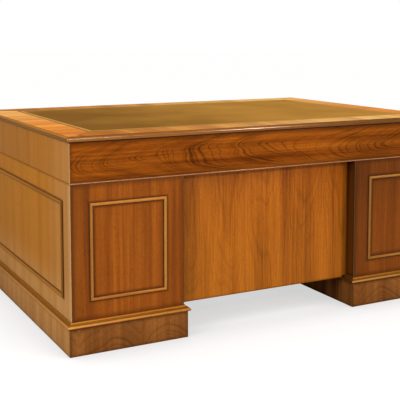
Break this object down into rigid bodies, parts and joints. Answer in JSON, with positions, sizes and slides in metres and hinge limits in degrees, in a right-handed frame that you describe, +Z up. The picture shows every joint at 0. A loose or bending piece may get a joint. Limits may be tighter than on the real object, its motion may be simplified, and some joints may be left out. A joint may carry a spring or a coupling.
{
  "type": "pedestal desk",
  "caption": "Wooden pedestal desk: moulded top with a leather inset, panelled pedestals on plinths, a kneehole and sliding drawers with brass drop handles.",
  "frame": {"origin": "on the floor, in the middle of the desk's plan", "axes": "+X along the width, +Y towards the user's side with the drawers, +Z up"},
  "size_m": [1.7098, 1.1858, 0.78],
  "materials": {
    "mahogany_veneer": "satin gloss polish over figured veneer",
    "moulding_wood": "satin gloss polish on solid mouldings",
    "desk_leather": "glossy hide with a tooled line",
    "handle_brass": "aged and lacquered",
    "drawer_wood": "bare planed oak",
    "carcase_wood": "bare planed timber"
  },
  "bodies": {
    "desk": {"table_top": "mahogany_veneer", "leather_inset": "desk_leather", "frieze_front_board": "mahogany_veneer", "frieze_end_left": "mahogany_veneer", "frieze_end_right": "mahogany_veneer", "frieze_floor": "moulding_wood", "frieze_divider_left": "mahogany_veneer", "frieze_divider_right": "mahogany_veneer", "modesty_panel": "mahogany_veneer", "left_plinth": "mahogany_veneer", "left_base_board": "moulding_wood", "left_visitor_panel": "mahogany_veneer", "left_outer_side": "mahogany_veneer", "left_inner_side": "mahogany_veneer", "left_top_board": "carcase_wood", "left_shelf_1": "carcase_wood", "left_shelf_2": "carcase_wood", "left_panel_moulding": "moulding_wood", "left_end_panel_moulding": "moulding_wood", "right_plinth": "mahogany_veneer", "right_base_board": "moulding_wood", "right_visitor_panel": "mahogany_veneer", "right_outer_side": "mahogany_veneer", "right_inner_side": "mahogany_veneer", "right_top_board": "carcase_wood", "right_shelf_1": "carcase_wood", "right_panel_moulding": "moulding_wood", "right_end_panel_moulding": "moulding_wood"},
    "frieze_left_drawer": {"frieze_left_drawer_front": "mahogany_veneer", "frieze_left_drawer_box": "drawer_wood", "frieze_left_handle_plate": "handle_brass"},
    "frieze_left_handle": {"frieze_left_bail": "handle_brass"},
    "frieze_centre_drawer": {"frieze_centre_drawer_front": "mahogany_veneer", "frieze_centre_drawer_box": "drawer_wood", "frieze_centre_handle_plate": "handle_brass"},
    "frieze_centre_handle": {"frieze_centre_bail": "handle_brass"},
    "frieze_right_drawer": {"frieze_right_drawer_front": "mahogany_veneer", "frieze_right_drawer_box": "drawer_wood", "frieze_right_handle_plate": "handle_brass"},
    "frieze_right_handle": {"frieze_right_bail": "handle_brass"},
    "left_upper_drawer": {"left_upper_drawer_front": "mahogany_veneer", "left_upper_drawer_box": "drawer_wood", "left_upper_handle_plate": "handle_brass"},
    "left_upper_handle": {"left_upper_bail": "handle_brass"},
    "left_middle_drawer": {"left_middle_drawer_front": "mahogany_veneer", "left_middle_drawer_box": "drawer_wood", "left_middle_handle_plate": "handle_brass"},
    "left_middle_handle": {"left_middle_bail": "handle_brass"},
    "left_lower_drawer": {"left_lower_drawer_front": "mahogany_veneer", "left_lower_drawer_box": "drawer_wood", "left_lower_handle_plate": "handle_brass"},
    "left_lower_handle": {"left_lower_bail": "handle_brass"},
    "right_upper_drawer": {"right_upper_drawer_front": "mahogany_veneer", "right_upper_drawer_box": "drawer_wood", "right_upper_handle_plate": "handle_brass"},
    "right_upper_handle": {"right_upper_bail": "handle_brass"},
    "right_file_drawer": {"right_file_drawer_front": "mahogany_veneer", "right_file_drawer_box": "drawer_wood", "right_file_handle_plate": "handle_brass"},
    "right_file_handle": {"right_file_bail": "handle_brass"}
  },
  "joints": [
    {"name": "frieze_left_drawer_slide", "type": "slide", "parent": "desk", "child": "frieze_left_drawer", "axis": [0, 1, 0], "range_m": [0, 0.42]},
    {"name": "frieze_left_bail_hinge", "type": "hinge", "parent": "frieze_left_drawer", "child": "frieze_left_handle", "pos_m": [-0.613, 0.5868, 0.6865], "axis": [1, 0, 0], "range_deg": [-12, 160]},
    {"name": "frieze_centre_drawer_slide", "type": "slide", "parent": "desk", "child": "frieze_centre_drawer", "axis": [0, 1, 0], "range_m": [0, 0.42]},
    {"name": "frieze_centre_bail_hinge", "type": "hinge", "parent": "frieze_centre_drawer", "child": "frieze_centre_handle", "pos_m": [0, 0.5868, 0.6865], "axis": [1, 0, 0], "range_deg": [-12, 160]},
    {"name": "frieze_right_drawer_slide", "type": "slide", "parent": "desk", "child": "frieze_right_drawer", "axis": [0, 1, 0], "range_m": [0, 0.42]},
    {"name": "frieze_right_bail_hinge", "type": "hinge", "parent": "frieze_right_drawer", "child": "frieze_right_handle", "pos_m": [0.613, 0.5868, 0.6865], "axis": [1, 0, 0], "range_deg": [-12, 160]},
    {"name": "left_upper_drawer_slide", "type": "slide", "parent": "desk", "child": "left_upper_drawer", "axis": [0, 1, 0], "range_m": [0, 0.42]},
    {"name": "left_upper_bail_hinge", "type": "hinge", "parent": "left_upper_drawer", "child": "left_upper_handle", "pos_m": [-0.614, 0.5868, 0.52028], "axis": [1, 0, 0], "range_deg": [-12, 160]},
    {"name": "left_middle_drawer_slide", "type": "slide", "parent": "desk", "child": "left_middle_drawer", "axis": [0, 1, 0], "range_m": [0, 0.42]},
    {"name": "left_middle_bail_hinge", "type": "hinge", "parent": "left_middle_drawer", "child": "left_middle_handle", "pos_m": [-0.614, 0.5868, 0.35735], "axis": [1, 0, 0], "range_deg": [-12, 160]},
    {"name": "left_lower_drawer_slide", "type": "slide", "parent": "desk", "child": "left_lower_drawer", "axis": [0, 1, 0], "range_m": [0, 0.42]},
    {"name": "left_lower_bail_hinge", "type": "hinge", "parent": "left_lower_drawer", "child": "left_lower_handle", "pos_m": [-0.614, 0.5868, 0.19442], "axis": [1, 0, 0], "range_deg": [-12, 160]},
    {"name": "right_upper_drawer_slide", "type": "slide", "parent": "desk", "child": "right_upper_drawer", "axis": [0, 1, 0], "range_m": [0, 0.42]},
    {"name": "right_upper_bail_hinge", "type": "hinge", "parent": "right_upper_drawer", "child": "right_upper_handle", "pos_m": [0.614, 0.5868, 0.52028], "axis": [1, 0, 0], "range_deg": [-12, 160]},
    {"name": "right_file_drawer_slide", "type": "slide", "parent": "desk", "child": "right_file_drawer", "axis": [0, 1, 0], "range_m": [0, 0.42]},
    {"name": "right_file_bail_hinge", "type": "hinge", "parent": "right_file_drawer", "child": "right_file_handle", "pos_m": [0.614, 0.5868, 0.35585], "axis": [1, 0, 0], "range_deg": [-12, 160]}
  ]
}
